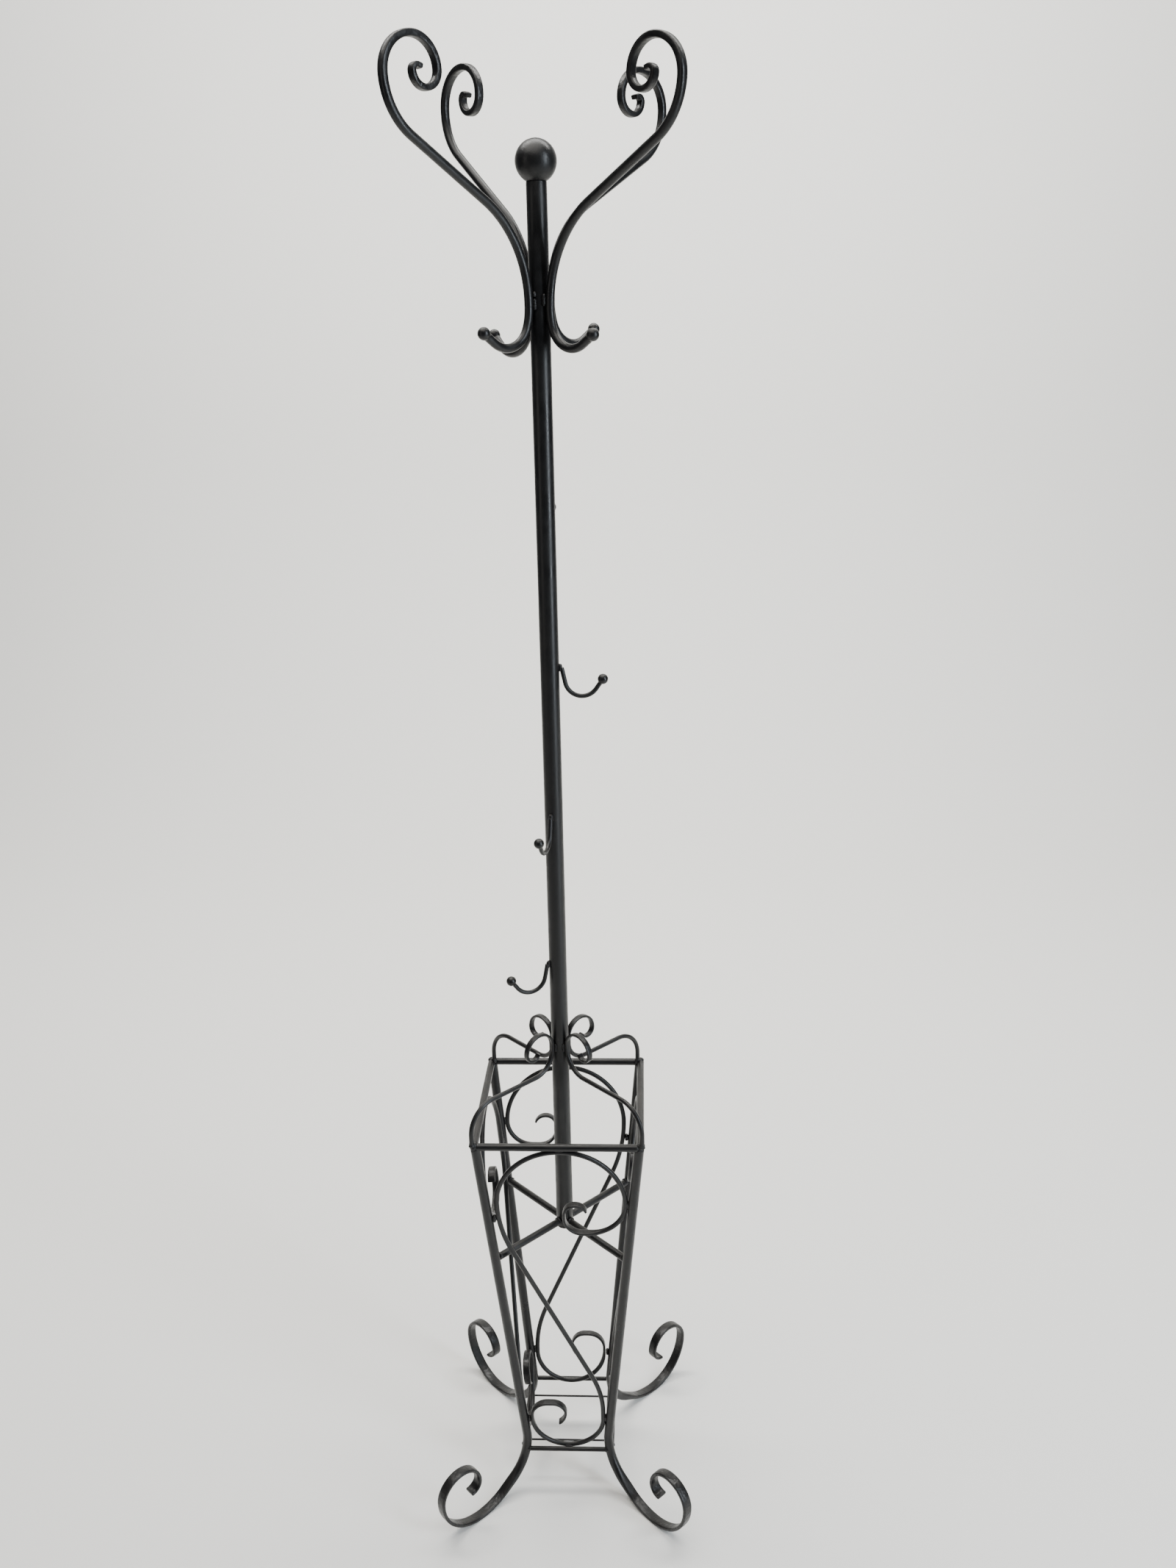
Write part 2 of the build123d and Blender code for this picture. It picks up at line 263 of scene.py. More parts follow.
def follow(piece, distance):
    """Point and heading at a distance along one piece of a chain."""
    x, y, facing, curve = piece[2:]
    if curve == 0:
        return x + distance * math.cos(facing), y + distance * math.sin(facing), facing
    end = facing + distance * curve
    return (
        x + (math.sin(end) - math.sin(facing)) / curve,
        y - (math.cos(end) - math.cos(facing)) / curve,
        end,
    )


def chain_length(pieces):
    """Length of a whole chain."""
    return pieces[-1][0] + pieces[-1][1]


def chain_point(pieces, distance):
    """Point and heading at a distance along a chain."""
    chosen = pieces[0]
    for piece in pieces:
        if piece[0] <= distance:
            chosen = piece
    return follow(chosen, distance - chosen[0])


def run_length(bends):
    """Length along a chain of straights (length, 0) and arcs (radius, turn)."""
    return sum(abs(math.radians(turn)) * size if turn else size for size, turn in bends)


def both_ways(start, heading, first, second):
    """One chain running in from the end of the first limb and out along the second."""
    limb = walk(start, heading + 180, first)
    x, y, facing = chain_point(limb, chain_length(limb))
    back = [(size, -turn) for size, turn in reversed(first)]
    return walk((x, y), math.degrees(facing) + 180, back + second)


# ================================================================ meshes
class Soup:
    """Vertices, faces and a forged-surface value, gathered for one object."""

    def __init__(self):
        self.verts = []
        self.faces = []
        self.forged = []

    def tube(self, rings):
        """Closed skin over rings of points given as (points, forged)."""
        first = len(self.verts)
        count = len(rings[0][0])
        for points, forged in rings:
            self.verts.extend(points)
            self.forged.extend([forged] * count)
        for ring in range(len(rings) - 1):
            for k in range(count):
                a = first + ring * count + k
                b = first + ring * count + (k + 1) % count
                self.faces.append((a, b, b + count, a + count))
        for ring, order in ((0, 1), (len(rings) - 1, -1)):
            centre = sum(rings[ring][0], Vector()) / count
            self.verts.append(centre)
            self.forged.append(rings[ring][1])
            hub = len(self.verts) - 1
            for k in range(count):
                a = first + ring * count + k
                b = first + ring * count + (k + 1) % count
                self.faces.append((hub, b, a)[::order])

    def build(self, name, material, slot, *nodes):
        mesh = bpy.data.meshes.new(name)
        mesh.from_pydata([tuple(v) for v in self.verts], [], self.faces)
        mesh.validate()
        mesh.update()
        mesh.shade_smooth()
        layer = mesh.attributes.new("forged", "FLOAT", "POINT")
        layer.data.foreach_set("value", self.forged)
        mesh.materials.append(material)
        piece = bpy.data.objects.new(name, mesh)
        bpy.context.scene.collection.objects.link(piece)
        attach(piece, "root")
        if nodes:
            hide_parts(*nodes)
        return piece


def ease(t):
    """Smooth step from 0 to 1, level at both ends."""
    t = min(max(t, 0.0), 1.0)
    return t * t * (3 - 2 * t)


def mix(a, b, t):
    """Value a share t of the way from a to b."""
    return a + (b - a) * t


def outline(width, thick, power):
    """Superellipse: power 2 is an ellipse, a high power is a ribbon with soft corners."""
    points = []
    for k in range(ring_points):
        turn = 2 * math.pi * k / ring_points
        c, s = math.cos(turn), math.sin(turn)
        across = math.copysign(abs(c) ** (2 / power), c) * width / 2
        depth = math.copysign(abs(s) ** (2 / power), s) * thick / 2
        points.append((across, depth))
    return points


def stations(length, rounding):
    """Distances along a bar, close together over both rounded ends."""
    cap = [rounding * (1 - math.cos(math.pi / 2 * k / cap_steps)) for k in range(cap_steps + 1)]
    straight_run = length - 2 * rounding
    middle = max(2, round(straight_run / step))
    inner = [rounding + straight_run * k / middle for k in range(1, middle)]
    return cap + inner + [length - place for place in reversed(cap)]


def rounded(distance, length, rounding):
    """How far the section draws in near an end that is rounded off."""
    edge = min(distance, length - distance)
    if edge >= rounding:
        return 0.0
    return rounding - math.sqrt(max(rounding**2 - (rounding - edge) ** 2, 0.0))


def forge(soup, plane, pieces, radius, ends=(None, None), rounding=end_rounding, seed=0.0):
    """Bar along a chain, round in the middle and hammered into a ribbon at its ends."""
    origin, x_dir, y_dir = plane
    normal = x_dir.cross(y_dir)
    length = chain_length(pieces)
    rings = []
    for distance in stations(length, rounding):
        x, y, facing = chain_point(pieces, distance)
        width = thick = 2 * radius
        forged = 0.0
        for edge, forging in zip((distance, length - distance), ends):
            if forging:
                beaten = ease((forging.length + forging.taper - edge) / forging.taper)
                tipped = ease(1 - edge / forging.tip)
                width = mix(width, mix(forging.width, forging.tip_width, tipped), beaten)
                thick = mix(thick, mix(forging.thick, forging.tip_thick, tipped), beaten)
                forged = max(forged, beaten)
        uneven = noise.noise(Vector((distance * uneven_scale, seed, uneven_layer)))
        width *= 1 + (uneven_round + uneven_width * forged) * uneven
        thick *= 1 - (uneven_round + uneven_thick * forged) * uneven
        inset = rounded(distance, length, rounding)
        ahead = x_dir * math.cos(facing) + y_dir * math.sin(facing)
        depth_dir = normal.cross(ahead)
        centre = origin + x_dir * x + y_dir * y
        section = outline(width - 2 * inset, thick - 2 * inset, mix(2, ribbon_power, forged))
        rings.append(([centre + normal * a + depth_dir * d for a, d in section], forged))
    soup.tube(rings)


def between(start, end):
    """Plane and chain for a straight bar from one point to another."""
    run = end - start
    x_dir = run.normalized()
    guide = Vector((0, 0, 1)) if abs(x_dir.z) < 0.9 else Vector((0, 1, 0))
    y_dir = guide.cross(x_dir).normalized()
    return (start, x_dir, y_dir), walk((0, 0), 0, [(run.length, 0)])


def straight(soup, start, end, radius, rounding=end_rounding, seed=0.0):
    """Round bar from one point to another."""
    plane, pieces = between(start, end)
    forge(soup, plane, pieces, radius, rounding=rounding, seed=seed)


def lathe(soup, base, axis, profile, count):
    """Turned piece: profile is (distance along the axis, radius)."""
    side = axis.orthogonal().normalized()
    other = axis.cross(side)
    rings = []
    for along, radius in profile:
        ring = []
        for k in range(count):
            turn = 2 * math.pi * k / count
            spoke = side * math.cos(turn) + other * math.sin(turn)
            ring.append(base + axis * along + spoke * radius)
        rings.append((ring, 0.0))
    soup.tube(rings)


def ball_profile(radius, neck, flare, count=24):
    """Ball whose foot flows into a neck through a small fillet of the weld's size."""
    pole_gap = 0.02
    flare_share = 0.35
    flare_turn = 0.12
    foot = math.asin(neck / radius)
    profile = [(-radius * math.cos(foot) - flare, neck)]
    for k in range(count + 1):
        turn = mix(foot, math.pi - pole_gap, k / count)
        swell = flare * flare_share * math.exp(-((turn - foot) / flare_turn) ** 2)
        profile.append((-radius * math.cos(turn), radius * math.sin(turn) + swell))
    return profile


def weld(soup, places, radius, seed):
    """Run of weld along a few places: rippled, lumpy and rounded at both ends."""
    lengths = [(b - a).length for a, b in zip(places, places[1:])]
    total = sum(lengths)
    count = max(6, round((total + 2 * radius) / weld_step))
    rings = []
    for k in range(count + 1):
        distance = -radius + (total + 2 * radius) * k / count
        reached = min(max(distance, 0.0), total)
        index = 0
        while index < len(lengths) - 1 and reached > lengths[index]:
            reached -= lengths[index]
            index += 1
        ahead = (places[index + 1] - places[index]).normalized()
        centre = places[index] + ahead * reached
        beyond = max(-distance, distance - total, 0.0)
        centre += ahead * math.copysign(beyond, distance)
        bulge = math.sqrt(max(radius**2 - beyond**2, (weld_least * radius) ** 2))
        ripple = 1 + weld_ripple * math.sin(distance / radius * weld_ripple_rate + seed)
        side = ahead.orthogonal().normalized()
        other = ahead.cross(side)
        ring = []
        for j in range(weld_points):
            turn = 2 * math.pi * j / weld_points
            direction = side * math.cos(turn) + other * math.sin(turn)
            spot = (centre + direction * radius) * weld_lump_scale
            lump = 1 + weld_lump * noise.noise(spot + Vector((seed, 0, 0)))
            ring.append(centre + direction * bulge * ripple * lump)
        rings.append((ring, 1.0))
    soup.tube(rings)


# ================================================================ materials
dust_colour = (0.11, 0.095, 0.08, 1)
dust_roughness = 0.85
coat_deep = (0.8, 0.8, 0.88)      # tints of a coat's tone
coat_light = (1.25, 1.25, 1.3)
coat_worn = (3.2, 3.0, 2.9)
worn_most = 0.5
gloss = 0.36
hammer_depth = 0.0011
peel_depth = 0.00035


def powder_coat(slot, tone, roughness, peel, hammer, dust):
    """Satin black powder coat over iron, with orange peel, hammered flats and settled dust."""
    material = bpy.data.materials.new(slot)
    material.use_nodes = True
    tree = material.node_tree
    tree.nodes.clear()

    def add(kind, **values):
        node = tree.nodes.new(kind)
        for key, value in values.items():
            setattr(node, key, value)
        return node

    def speckle(scale, detail, rough=0.55):
        node = add("ShaderNodeTexNoise")
        tree.links.new(place.outputs["Object"], node.inputs["Vector"])
        node.inputs["Scale"].default_value = scale
        node.inputs["Detail"].default_value = detail
        node.inputs["Roughness"].default_value = rough
        return node.outputs["Fac"]

    def remap(source, low, high, to_low, to_high):
        node = add("ShaderNodeMapRange", interpolation_type="SMOOTHSTEP")
        tree.links.new(source, node.inputs["Value"])
        limits = {"From Min": low, "From Max": high, "To Min": to_low, "To Max": to_high}
        for key, value in limits.items():
            node.inputs[key].default_value = value
        return node.outputs["Result"]

    def times(a, b):
        node = add("ShaderNodeMath", operation="MULTIPLY")
        for index, value in enumerate((a, b)):
            if isinstance(value, float):
                node.inputs[index].default_value = value
            else:
                tree.links.new(value, node.inputs[index])
        return node.outputs[0]

    def blend(factor, a, b):
        node = add("ShaderNodeMix", data_type="RGBA")
        tree.links.new(factor, node.inputs["Factor"])
        for key, value in (("A", a), ("B", b)):
            socket = next(s for s in node.inputs if s.name == key and s.type == "RGBA")
            if isinstance(value, tuple):
                socket.default_value = value
            else:
                tree.links.new(value, socket)
        return next(s for s in node.outputs if s.type == "RGBA")

    def tinted(tint):
        return tuple(tone * part for part in tint) + (1,)

    place = add("ShaderNodeTexCoord")
    shader = add("ShaderNodeBsdfPrincipled")
    output = add("ShaderNodeOutputMaterial")
    tree.links.new(shader.outputs["BSDF"], output.inputs["Surface"])

    # settled dust: thick on what faces up, patchy
    facing = add("ShaderNodeSeparateXYZ")
    normal = add("ShaderNodeNewGeometry")
    tree.links.new(normal.outputs["Normal"], facing.inputs["Vector"])
    upward = remap(facing.outputs["Z"], 0.35, 0.95, 0.0, 1.0)
    patches = remap(speckle(38.0, 6.0), 0.36, 0.62, 0.25, 1.0)
    grains = remap(speckle(1500.0, 3.0), 0.42, 0.6, 0.35, 1.0)
    dusty = times(times(times(upward, patches), grains), dust)

    # colour: blue-black coat, a little uneven, with scuffs worn to grey
    uneven = remap(speckle(22.0, 4.0), 0.3, 0.7, 0.0, 1.0)
    scuffs = times(remap(speckle(160.0, 8.0, 0.7), 0.6, 0.74, 0.0, 1.0), worn_most)
    coat = blend(uneven, tinted(coat_deep), tinted(coat_light))
    worn = blend(scuffs, coat, tinted(coat_worn))
    tree.links.new(blend(dusty, worn, dust_colour), shader.inputs["Base Color"])

    # gloss: satin, cloudy, dull under dust
    cloudy = remap(speckle(55.0, 5.0), 0.3, 0.7, roughness - 0.06, roughness + 0.09)
    dull = add("ShaderNodeMix", data_type="FLOAT")
    tree.links.new(dusty, dull.inputs["Factor"])
    tree.links.new(cloudy, dull.inputs["A"])
    dull.inputs["B"].default_value = dust_roughness
    tree.links.new(dull.outputs["Result"], shader.inputs["Roughness"])
    shader.inputs["Specular IOR Level"].default_value = gloss

    # relief: orange peel everywhere, hammer marks where the bar was forged
    beaten = add("ShaderNodeAttribute", attribute_name="forged")
    marks = times(speckle(210.0, 1.5), beaten.outputs["Fac"])
    grain = speckle(620.0, 2.0)
    relief = shader.inputs["Normal"]
    for source, distance, strength in ((marks, hammer_depth, hammer), (grain, peel_depth, peel)):
        bump = add("ShaderNodeBump")
        tree.links.new(source, bump.inputs["Height"])
        bump.inputs["Distance"].default_value = distance
        bump.inputs["Strength"].default_value = strength
        tree.links.new(bump.outputs["Normal"], relief)
        relief = bump.inputs["Normal"]
    return material


# tone, roughness, peel, hammer, dust
coats = {
    "pole": (0.0045, 0.34, 0.3, 0.0, 0.05),
    "finial": (0.005, 0.36, 0.45, 0.1, 0.1),
    "cage_rods": (0.0045, 0.34, 0.4, 0.3, 0.14),
    "legs": (0.0045, 0.33, 0.4, 0.55, 0.1),
    "tray_wires": (0.006, 0.42, 0.4, 0.2, 0.2),
    "panel_scrolls": (0.0045, 0.34, 0.4, 0.5, 0.12),
    "cap_straps": (0.0045, 0.34, 0.4, 0.5, 0.12),
    "arms": (0.0045, 0.33, 0.4, 0.55, 0.15),
    "pole_hooks": (0.005, 0.35, 0.4, 0.3, 0.15),
    "hook_balls": (0.0045, 0.33, 0.4, 0.2, 0.15),
    "welds": (0.006, 0.42, 0.6, 0.8, 0.15),
}
finishes = {slot: powder_coat(slot, *values) for slot, values in coats.items()}


def make(name, slot, soup, *nodes):
    """Object in its slot's finish, in place of the CAD nodes named."""
    return soup.build(name, finishes[slot], slot, *nodes)


def polar(radius, azimuth, height):
    """Point at a radius and azimuth about the pole."""
    turn = math.radians(azimuth)
    return Vector((radius * math.cos(turn), radius * math.sin(turn), height))


def leg_reach(height):
    """Distance of a leg's axis from the pole's axis, above its foot."""
    return leg_low_r + (leg_top_r - leg_low_r) * (height - leg_low_z) / (top_z - leg_low_z)


# ================================================================ pole and finial
def make_pole():
    """Tube with a soft edge at both ends."""
    soup = Soup()
    length = pole_high.z - pole_low.z
    edge = [(0.0, pole_edge), (pole_edge * edge_share, pole_edge * edge_share), (pole_edge, 0.0)]
    profile = [(along, pole_r - inset) for along, inset in edge]
    for k in range(1, pole_rows):
        profile.append((mix(pole_edge, length - pole_edge, k / pole_rows), pole_r))
    profile += [(length - along, pole_r - inset) for along, inset in reversed(edge)]
    lathe(soup, Vector((0, 0, pole_low.z)), Vector((0, 0, 1)), profile, count=turned_points)
    make("pole_tube", "pole", soup, "pole")


def make_finial():
    """Ball on top of the pole."""
    soup = Soup()
    profile = ball_profile(ball_r, pole_r - pole_edge, ball_flare, 40)
    lathe(soup, ball_centre, Vector((0, 0, 1)), profile, count=turned_points)
    make("finial", "finial", soup, "finial_ball")


# ================================================================ cage
def low_rail_middle(side, azimuth):
    """Middle of a low rail's axis; the back one sits higher and so further out."""
    lift = lifts[side]
    return polar(low_half + lift * math.tan(math.radians(panel_lean)), azimuth, low_z + lift)


def make_rails():
    """Square top frame and the four low rails."""
    for side, azimuth in sides:
        soup = Soup()
        corner_r = top_half * math.sqrt(2)
        start, end = polar(corner_r, azimuth - 45, top_z), polar(corner_r, azimuth + 45, top_z)
        straight(soup, start, end, rod_r, rod_r, azimuth)
        make("rail_top_" + side, "cage_rods", soup, "top_rail_" + side)
        soup = Soup()
        middle = low_rail_middle(side, azimuth)
        along = polar(leg_low_r / math.sqrt(2) - bar_sink / 2, azimuth + 90, 0)
        straight(soup, middle - along, middle + along, low_rail_r, seed=azimuth + 7)
        make("rail_low_" + side, "cage_rods", soup, "low_rail_" + side)


def make_brace_and_wires():
    """Four bars from pole to legs and the two wires under the low rails."""
    for corner, azimuth in corners:
        soup = Soup()
        inner = polar(pole_r * pole_sink_share, azimuth, brace_z)
        outer = polar(leg_reach(brace_z) - leg_r * leg_sink_share, azimuth, brace_z)
        straight(soup, inner, outer, rod_r, seed=azimuth)
        make("brace_bar_" + corner, "cage_rods", soup, "brace_" + corner)
    for side, place in (("front", -wire_y), ("back", wire_y)):
        soup = Soup()
        height = low_z - low_rail_r - wire_r
        reach = low_half + low_rail_r / 2
        left, right = Vector((-reach, place, height)), Vector((reach, place, height))
        straight(soup, left, right, wire_r, wire_rounding)
        make("wire_" + side, "tray_wires", soup, "tray_wire_" + side)


def make_legs():
    """Leaning legs whose ends are beaten flat and rolled into scroll feet."""
    lean = math.degrees(math.atan2(leg_top_r - leg_low_r, top_z - leg_low_z))
    heading = -90 - lean
    toe = heading + foot_spread
    turn, spread = math.radians(heading), math.radians(toe)
    drop = (
        foot_in_r * (math.cos(spread) - math.cos(turn))
        - foot_taper * math.sin(spread)
        + foot_out_r * (1 - math.cos(spread))
    )
    head_z = top_z - bar_sink
    bend_z = foot_t / 2 - foot_trim + drop
    run = (head_z - bend_z) / math.cos(math.radians(lean))
    bends = [(run, 0), (foot_in_r, foot_spread), (foot_taper, 0), (foot_out_r, -toe)] + toe_bends
    toe_end = Forging(
        length=run_length(bends[3:]) - foot_late,
        taper=foot_flatten,
        width=foot_w,
        thick=foot_t,
        tip=foot_tip,
        tip_width=foot_tip_w,
        tip_thick=foot_tip_t,
    )
    for corner, azimuth in corners:
        soup = Soup()
        pieces = walk((leg_reach(head_z), head_z), heading, bends)
        forge(soup, upright(azimuth), pieces, leg_r, (None, toe_end), seed=azimuth)
        make("leg_forged_" + corner, "legs", soup, "leg_" + corner)


def panel_plane(azimuth):
    """Sloping plane of one side of the cage, through the axes of its two legs."""
    tilt = math.radians(panel_lean)
    across = polar(1, azimuth + 90, 0)
    face = polar(1, azimuth, 0) * math.cos(tilt) - Vector((0, 0, 1)) * math.sin(tilt)
    return polar(leg_low_r / math.sqrt(2), azimuth, leg_low_z), across, face.cross(across)


def panel_height(height):
    """Distance up a panel's plane at which it reaches a height over the floor."""
    return (height - leg_low_z) / math.cos(math.radians(panel_lean))


arch_top = panel_height(top_z - rod_r - panel_r)
arch_mid = arch_top - arch_r
loop_low = panel_height(loop_z)
loop_mid = loop_low + loop_r


def make_panels():
    """S scroll in each side of the cage, beaten flat in both curls."""
    turned = math.radians(sway_turn)
    sway_r = sway_top_r + sway_low_r
    sideways = loop_x + loop_r - arch_x + arch_r
    diagonal = (sideways - sway_r * (1 - math.cos(turned))) / math.sin(turned)
    loop_drop = arch_mid - loop_mid - sway_r * math.sin(turned) - diagonal * math.cos(turned)
    curl, loop = (
        Forging(
            length=run_length(ribbon),
            taper=ribbon_flatten,
            width=panel_w,
            thick=panel_t,
            tip=ribbon_tip,
            tip_width=panel_w * tip_spread,
            tip_thick=panel_tip_t,
        )
        for ribbon in (arch_curl, loop_curl)
    )
    for side, azimuth in sides:
        curl_r = back_curl_r if side == "back" else arch_curl_r
        over = [(arch_r, -180), (curl_r, -90), (panel_taper, 0)] + arch_curl
        drop = loop_drop - panel_height(lifts[side]) + panel_height(0)
        sway = [(sway_top_r, sway_turn), (diagonal, 0), (sway_low_r, -sway_turn), (drop, 0)]
        under = sway + [(loop_r, -180), (panel_taper, 0)] + loop_curl
        soup = Soup()
        pieces = both_ways((arch_x - arch_r, arch_mid), -90, over, under)
        forge(soup, panel_plane(azimuth), pieces, panel_r, (curl, loop), seed=azimuth)
        make("panel_rod_" + side, "panel_scrolls", soup, "panel_scroll_" + side)


def strap_foot(corner):
    """Distance of a strap's foot from the rack's axis; the back ones stand further in."""
    return strap_back_r if corner.startswith("back") else strap_front_r


def make_straps():
    """Straps that rise from the top frame, run in to the pole and curl back outwards."""
    curl = Forging(
        length=run_length(strap_curl) - strap_late,
        taper=ribbon_flatten,
        width=strap_w,
        thick=strap_t,
        tip=ribbon_tip,
        tip_width=strap_w * tip_spread,
        tip_thick=strap_tip_t,
    )
    for corner, azimuth in corners:
        foot_r = strap_foot(corner)
        run = foot_r - strap_knee_r - strap_heel_r - pole_r - strap_r
        rise = [(strap_rise, 0), (strap_knee_r, 90), (run, 0)]
        bends = rise + [(strap_heel_r, -90), (strap_taper, 0)] + strap_curl
        soup = Soup()
        pieces = walk((foot_r, top_z + bar_sink), 90, bends)
        forge(soup, upright(azimuth), pieces, strap_r, (None, curl), strap_rounding, azimuth)
        make("strap_" + corner, "cap_straps", soup, "cap_strap_" + corner)


# ================================================================ arms and hooks
def arm_plane(azimuth, lean, height):
    """Leaning plane of one arm, as far out as lets the arm just touch the pole."""
    near, flat = (arm_fall_r, arm_fall_flat) if lean > 0 else (arm_rise_r, arm_rise_flat)
    lean_r = math.radians(abs(lean))
    clearance = near * (1 - math.cos(lean_r)) + flat * math.sin(lean_r)
    return upright(azimuth, pole_r + rod_r + clearance, height, lean)


def hung_ball(soup, plane, pieces, at_start, radius, neck):
    """Ball on one end of a chain, with its foot flowing into the bar."""
    origin, x_dir, y_dir = plane
    x, y, facing = chain_point(pieces, 0 if at_start else chain_length(pieces))
    ahead = (x_dir * math.cos(facing) + y_dir * math.sin(facing)) * (-1 if at_start else 1)
    centre = origin + x_dir * x + y_dir * y + ahead * (radius / 3)
    lathe(soup, centre, ahead, ball_profile(radius, neck, knob_flare), knob_points)


def make_arms():
    """Four scrolled arms, each with a ball at the end of its cup."""
    scroll = Forging(
        length=run_length(arm_curl) - arm_flatten,
        taper=arm_flatten,
        width=arm_w,
        thick=arm_t - arm_beat,
        tip=arm_tip,
        tip_width=arm_w * tip_spread,
        tip_thick=arm_tip_t,
    )
    rise = arm_rise + [(arm_taper, 0)] + arm_curl
    for corner, azimuth, lean, height in arms:
        plane = arm_plane(azimuth, lean, height)
        pieces = both_ways((0, 0), 90, arm_cup, rise)
        soup = Soup()
        forge(soup, plane, pieces, rod_r, (None, scroll), seed=azimuth)
        make("arm_bar_" + corner, "arms", soup, "arm_" + corner)
        soup = Soup()
        hung_ball(soup, plane, pieces, True, arm_ball_r, rod_r)
        make("arm_knob_" + corner, "hook_balls", soup, "arm_ball_" + corner)


def make_hooks():
    """Four small hooks up the pole, each with its ball."""
    for side, azimuth, height in hooks:
        plane = upright(azimuth)
        pieces = walk((pole_r + hook_r, height), -hook_drop, hook_bends)
        soup = Soup()
        forge(soup, plane, pieces, hook_r, seed=azimuth)
        make("hook_rod_" + side, "pole_hooks", soup, "pole_hook_" + side)
        soup = Soup()
        hung_ball(soup, plane, pieces, False, hook_ball_r, hook_r)
        make("hook_knob_" + side, "hook_balls", soup, "hook_ball_" + side)


# ================================================================ welds
def collar(soup, centre, axis, radius, bead, span, seed):
    """Weld run round a bar's end, as far as an angle either side of its top."""
    side = Vector((0, 0, 1)) - axis * axis.z
    side.normalize()
    other = axis.cross(side)
    count = max(3, round(2 * span / 30))
    places = []
    for k in range(count + 1):
        turn = math.radians(mix(-span, span, k / count))
        places.append(centre + (side * math.cos(turn) + other * math.sin(turn)) * radius)
    weld(soup, places, bead, seed)


def upright_run(place, low, high):
    """Both ends of an upright run of weld, at heights from a place."""
    return [place + Vector((0, 0, low)), place + Vector((0, 0, high))]


def make_arm_welds():
    """Runs either side of each arm, where it touches the pole."""
    soup = Soup()
    for _, azimuth, _, height in arms:
        for turn, low, high in arm_weld_runs:
            place = polar(pole_r + arm_weld_out, azimuth + turn, height)
            weld(soup, upright_run(place, low, high), arm_weld_r, azimuth + turn)
    make("beads_arms", "welds", soup, "arm_welds")


def make_hook_welds():
    """One short run at the root of each hook."""
    soup = Soup()
    for _, azimuth, height in hooks:
        place = polar(pole_r + hook_weld_out, azimuth, height)
        weld(soup, upright_run(place, -hook_weld_half, hook_weld_half), hook_weld_r, azimuth)
    make("beads_hooks", "welds", soup, "hook_welds")


def make_strap_welds():
    """Runs either side of each strap, where it touches the pole."""
    soup = Soup()
    height = top_z + strap_rise + strap_knee_r + strap_heel_r + strap_weld_rise
    for _, azimuth in corners:
        for turn in (-strap_weld_turn, strap_weld_turn):
            place = polar(pole_r + pole_weld_out, azimuth + turn, height)
            weld(soup, upright_run(place, 0, strap_weld_run), strap_weld_r, azimuth + turn)
    make("beads_straps", "welds", soup, "strap_welds")


def make_brace_welds():
    """Arcs over both ends of each brace bar."""
    soup = Soup()
    ring_r = rod_r + brace_weld_gap
    for _, azimuth in corners:
        out = polar(1, azimuth, 0)
        inner = polar(pole_r + pole_weld_out, azimuth, brace_z)
        outer = polar(leg_reach(brace_z) - leg_r - brace_leg_gap, azimuth, brace_z)
        collar(soup, inner, out, ring_r, brace_weld_r, brace_pole_span, azimuth)
        collar(soup, outer, out, ring_r, brace_weld_r, brace_leg_span, azimuth + 5)
    make("beads_brace", "welds", soup, "brace_welds")


def gap_middle(rod_edge, height):
    """Halfway from a panel's rod to the leg beside it, along the panel's plane."""
    leg_z = leg_low_z + height * math.cos(math.radians(panel_lean))
    leg_edge = leg_reach(leg_z) / math.sqrt(2) - leg_r
    return (rod_edge + leg_edge) / 2


def side_weld_runs(low_at):
    """Welds of a panel to its legs, as (across, up, length, radius)."""
    wide_at = arch_mid - arch_weld_drop
    drop_in = sway_top_r - math.sqrt(sway_top_r**2 - arch_weld_drop**2)
    wide_edge = arch_r - arch_x - drop_in + panel_r
    return (
        (-gap_middle(wide_edge, wide_at), wide_at, 0.005, 0.0023),
        (gap_middle(arch_x + arch_r + panel_r, arch_mid), arch_mid, 0.006, 0.0018),
        (-gap_middle(loop_r - loop_x + panel_r, low_at), low_at, 0.005, 0.002),
        (gap_middle(loop_x + loop_r + panel_r, low_at), low_at + loop_weld_rise, 0.006, 0.0018),
    )


def make_panel_welds():
    """Paired runs from each panel to its legs, and one run to each of its rails."""
    soup = Soup()
    for side, azimuth in sides:
        origin, across, up = panel_plane(azimuth)
        face = across.cross(up)
        low_at = loop_mid + panel_height(lifts[side]) - panel_height(0)
        for reach, height, run, radius in side_weld_runs(low_at):
            for way in (-1, 1):
                place = origin + across * reach + up * (height - run / 2)
                place += face * way * side_weld_apart
                weld(soup, [place, place + up * run], radius, azimuth + height * 100)
        for reach, height, out in (
            (arch_x, arch_top + panel_r, side_weld_apart),
            (loop_x, low_at - loop_r, panel_r),
        ):
            place = origin + up * height + face * out + across * (reach - rail_weld_half)
            run = [place, place + across * 2 * rail_weld_half]
            weld(soup, run, rail_weld_r, azimuth + height * 100)
    make("beads_panels", "welds", soup, "panel_welds")


def low_rails_at(azimuth):
    """The two sides that meet at a corner, as (way round, side, its azimuth)."""
    for way in (-1, 1):
        for side, facing in sides:
            if (facing - azimuth - 45 * way) % 360 == 0:
                yield way, side, facing


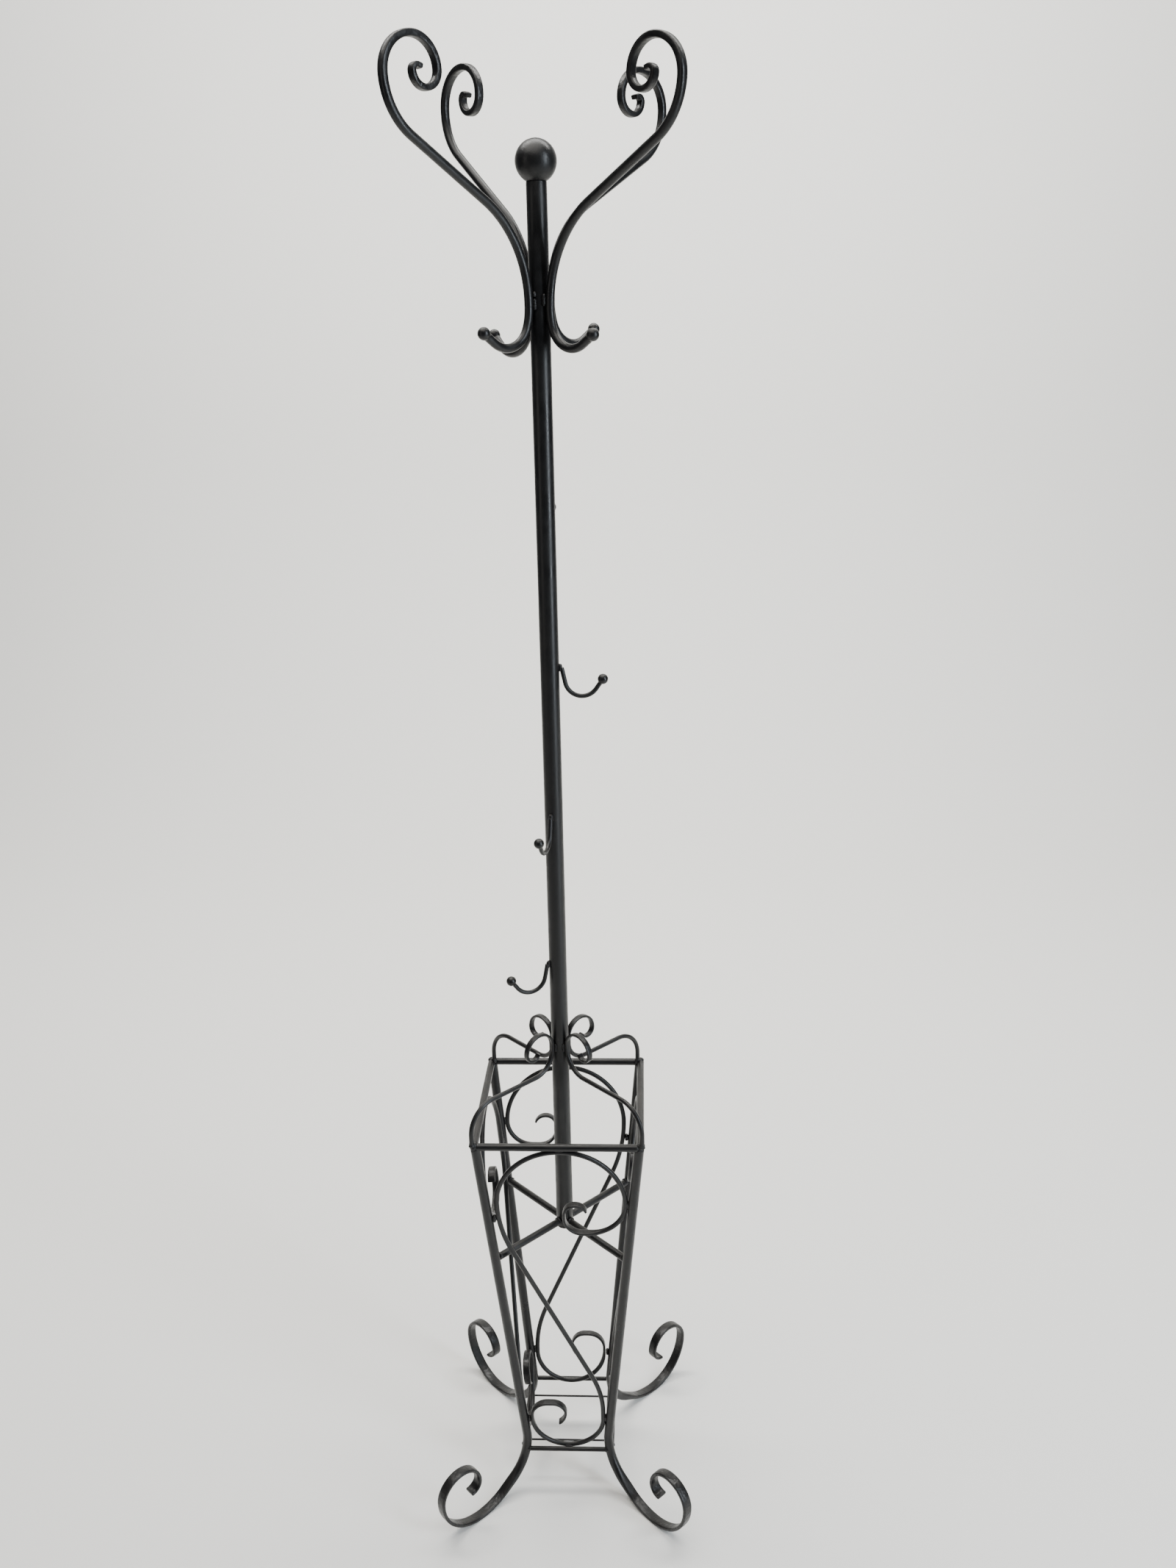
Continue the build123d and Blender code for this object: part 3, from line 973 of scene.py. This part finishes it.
def make_frame_welds():
    """Corners of the top frame, feet of the straps and ends of the low rails."""
    soup = Soup()
    for corner, azimuth in corners:
        top = polar(top_half * math.sqrt(2), azimuth, top_z)
        run = upright_run(top, -corner_weld_low, corner_weld_high)
        weld(soup, run, rod_r * corner_weld_share, azimuth)
        foot = polar(strap_foot(corner), azimuth, top_z + rod_r * strap_foot_share)
        weld(soup, upright_run(foot, 0, foot_weld_run), strap_r * foot_weld_share, azimuth + 3)
        leg_face = low_leg_r / math.sqrt(2) - leg_r * low_weld_share
        for way, side, facing in low_rails_at(azimuth):
            towards = polar(1, facing - 90 * way, 0)
            centre = low_rail_middle(side, facing) + towards * leg_face
            collar(soup, centre, -towards, low_rail_r, low_weld_r, low_weld_span, azimuth + way)
    make("beads_frame", "welds", soup)


make_pole()
make_finial()
make_rails()
make_brace_and_wires()
make_legs()
make_panels()
make_straps()
make_arms()
make_hooks()
make_arm_welds()
make_hook_welds()
make_strap_welds()
make_brace_welds()
make_panel_welds()
make_frame_welds()
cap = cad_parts["pole_end_cap"]
cap.data.materials.clear()
cap.data.materials.append(finishes["pole"])


# ================================================================ stage
paper_colour = (0.86, 0.85, 0.82, 1)
paper_roughness = 0.85
sky_colour = (0.86, 0.9, 1.0, 1)
sky_strength = 0.1
daylight = (0.84, 0.92, 1.0)
warm_white = (1.0, 0.97, 0.92)
lens_mm = 30.13
film_mm = 36.0


def make_stage():
    """Pale floor that turns up into a pale backdrop."""
    half, front, back, sweep, height = 4.0, -3.5, 2.2, 1.2, 4.0
    profile = [(front, 0.0), (back, 0.0)]
    bend_steps = 16
    for k in range(1, bend_steps + 1):
        turn = math.pi / 2 * k / bend_steps
        profile.append((back + sweep * math.sin(turn), sweep * (1 - math.cos(turn))))
    profile.append((back + sweep, height))
    verts = [(x, y, z) for y, z in profile for x in (-half, half)]
    faces = [(2 * k, 2 * k + 1, 2 * k + 3, 2 * k + 2) for k in range(len(profile) - 1)]
    mesh = bpy.data.meshes.new("floor")
    mesh.from_pydata(verts, [], faces)
    mesh.shade_smooth()
    paper = bpy.data.materials.new("floor")
    paper.use_nodes = True
    shader = paper.node_tree.nodes["Principled BSDF"]
    shader.inputs["Base Color"].default_value = paper_colour
    shader.inputs["Roughness"].default_value = paper_roughness
    mesh.materials.append(paper)
    floor = bpy.data.objects.new("floor", mesh)
    bpy.context.scene.collection.objects.link(floor)


def make_lamp(name, place, target, size, power, colour):
    """Rectangular lamp that faces its target."""
    lamp = bpy.data.lights.new(name, "AREA")
    lamp.shape = "RECTANGLE"
    lamp.size, lamp.size_y = size
    lamp.energy = power
    lamp.color = colour
    holder = bpy.data.objects.new(name, lamp)
    holder.location = place
    holder.rotation_euler = (Vector(target) - Vector(place)).to_track_quat("-Z", "Y").to_euler()
    bpy.context.scene.collection.objects.link(holder)


def make_lights():
    """Soft window from the right, ceiling light, weak fill and a lit backdrop."""
    world = bpy.data.worlds.new("studio")
    world.use_nodes = True
    sky = world.node_tree.nodes["Background"]
    sky.inputs["Color"].default_value = sky_colour
    sky.inputs["Strength"].default_value = sky_strength
    bpy.context.scene.world = world
    middle = (0, 0, 0.9)
    make_lamp("window_right", (2.4, -1.6, 1.7), middle, (0.7, 2.8), 100, daylight)
    make_lamp("ceiling", (-0.3, -0.6, 3.2), middle, (2.2, 1.8), 50, warm_white)
    make_lamp("fill_left", (-2.4, -1.8, 1.6), middle, (1.0, 2.0), 8, (1.0, 0.96, 0.9))
    make_lamp("backdrop", (0.0, 0.9, 3.6), (0, 3.2, 0.6), (4.0, 1.0), 230, (1.0, 0.99, 0.96))


def make_camera():
    """The photograph's view: standing eye height, tilted down, a hair of roll."""
    place = Vector((0.1088, -1.4915, 1.5083))
    tilt_down, turn_left, roll = 18.424, 2.559, -1.07
    lens = bpy.data.cameras.new("camera")
    lens.sensor_fit = "VERTICAL"
    lens.sensor_height = film_mm
    lens.lens = lens_mm
    camera = bpy.data.objects.new("camera", lens)
    turn = Matrix.Rotation(math.radians(turn_left), 4, "Z")
    tilt = Matrix.Rotation(math.radians(90 - tilt_down), 4, "X")
    level = Matrix.Rotation(math.radians(roll), 4, "Z")
    camera.matrix_world = Matrix.Translation(place) @ turn @ tilt @ level
    bpy.context.scene.collection.objects.link(camera)
    bpy.context.scene.camera = camera


make_stage()
make_lights()
make_camera()
